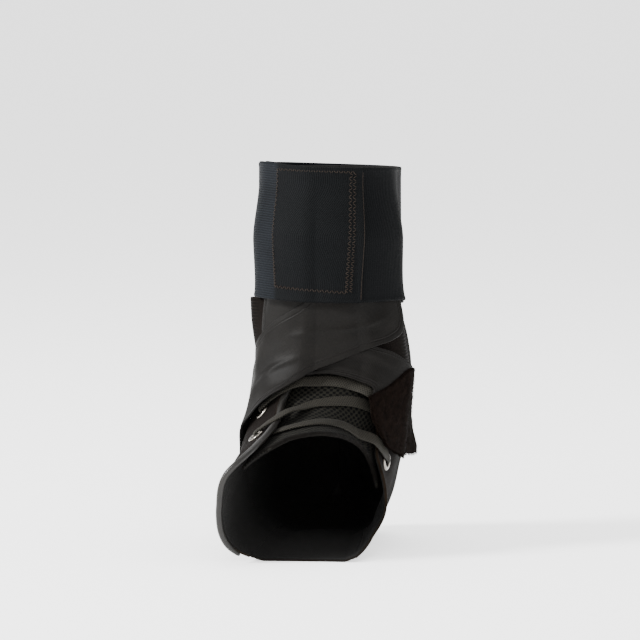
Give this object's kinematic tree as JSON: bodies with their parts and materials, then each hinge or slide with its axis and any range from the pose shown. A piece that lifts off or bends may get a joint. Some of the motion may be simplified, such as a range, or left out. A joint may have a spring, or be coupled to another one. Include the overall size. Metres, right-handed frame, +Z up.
{
  "type": "lace-up ankle brace",
  "caption": "Lace-up ankle brace: open boot with eyelets and flat lace, mesh tongue, two crossing straps and a wide elastic cuff wrapped round the shaft.",
  "frame": {"origin": "on the underside of the sole panel, below the middle of the shaft", "axes": "+Z up along the shaft, the toe end points along -Y, the inner side of this right-foot brace lies toward +X"},
  "size_m": [0.0966, 0.1847, 0.21],
  "materials": {
    "boot_cloth": "matt padded cloth with a fine mesh face",
    "binding": "soft folded binding tape",
    "tongue_mesh": "matt open spacer mesh",
    "lace_cord": "flat braid, slightly shiny",
    "strap_cloth": "satin coated cloth",
    "loop_pile": "fuzzy loop pile",
    "ribbed_elastic": "fine ribbed elastic",
    "hook_tape": "hook tape",
    "eyelet_metal": "bright rolled metal"
  },
  "bodies": {
    "root": {"lateral_quarter": "boot_cloth", "medial_quarter": "boot_cloth", "sole_panel": "boot_cloth", "back_tape": "binding", "tongue": "tongue_mesh", "rolled_edge": "binding", "lace": "lace_cord", "lower_strap": "strap_cloth", "upper_strap": "strap_cloth", "strap_tab": "loop_pile", "elastic_cuff": "ribbed_elastic", "hook_patch": "hook_tape", "lateral_eyelet_1": "eyelet_metal", "lateral_eyelet_2": "eyelet_metal", "lateral_eyelet_3": "eyelet_metal", "lateral_eyelet_4": "eyelet_metal", "lateral_eyelet_5": "eyelet_metal", "medial_eyelet_1": "eyelet_metal", "medial_eyelet_2": "eyelet_metal", "medial_eyelet_3": "eyelet_metal", "medial_eyelet_4": "eyelet_metal", "medial_eyelet_5": "eyelet_metal"}
  },
  "joints": []
}
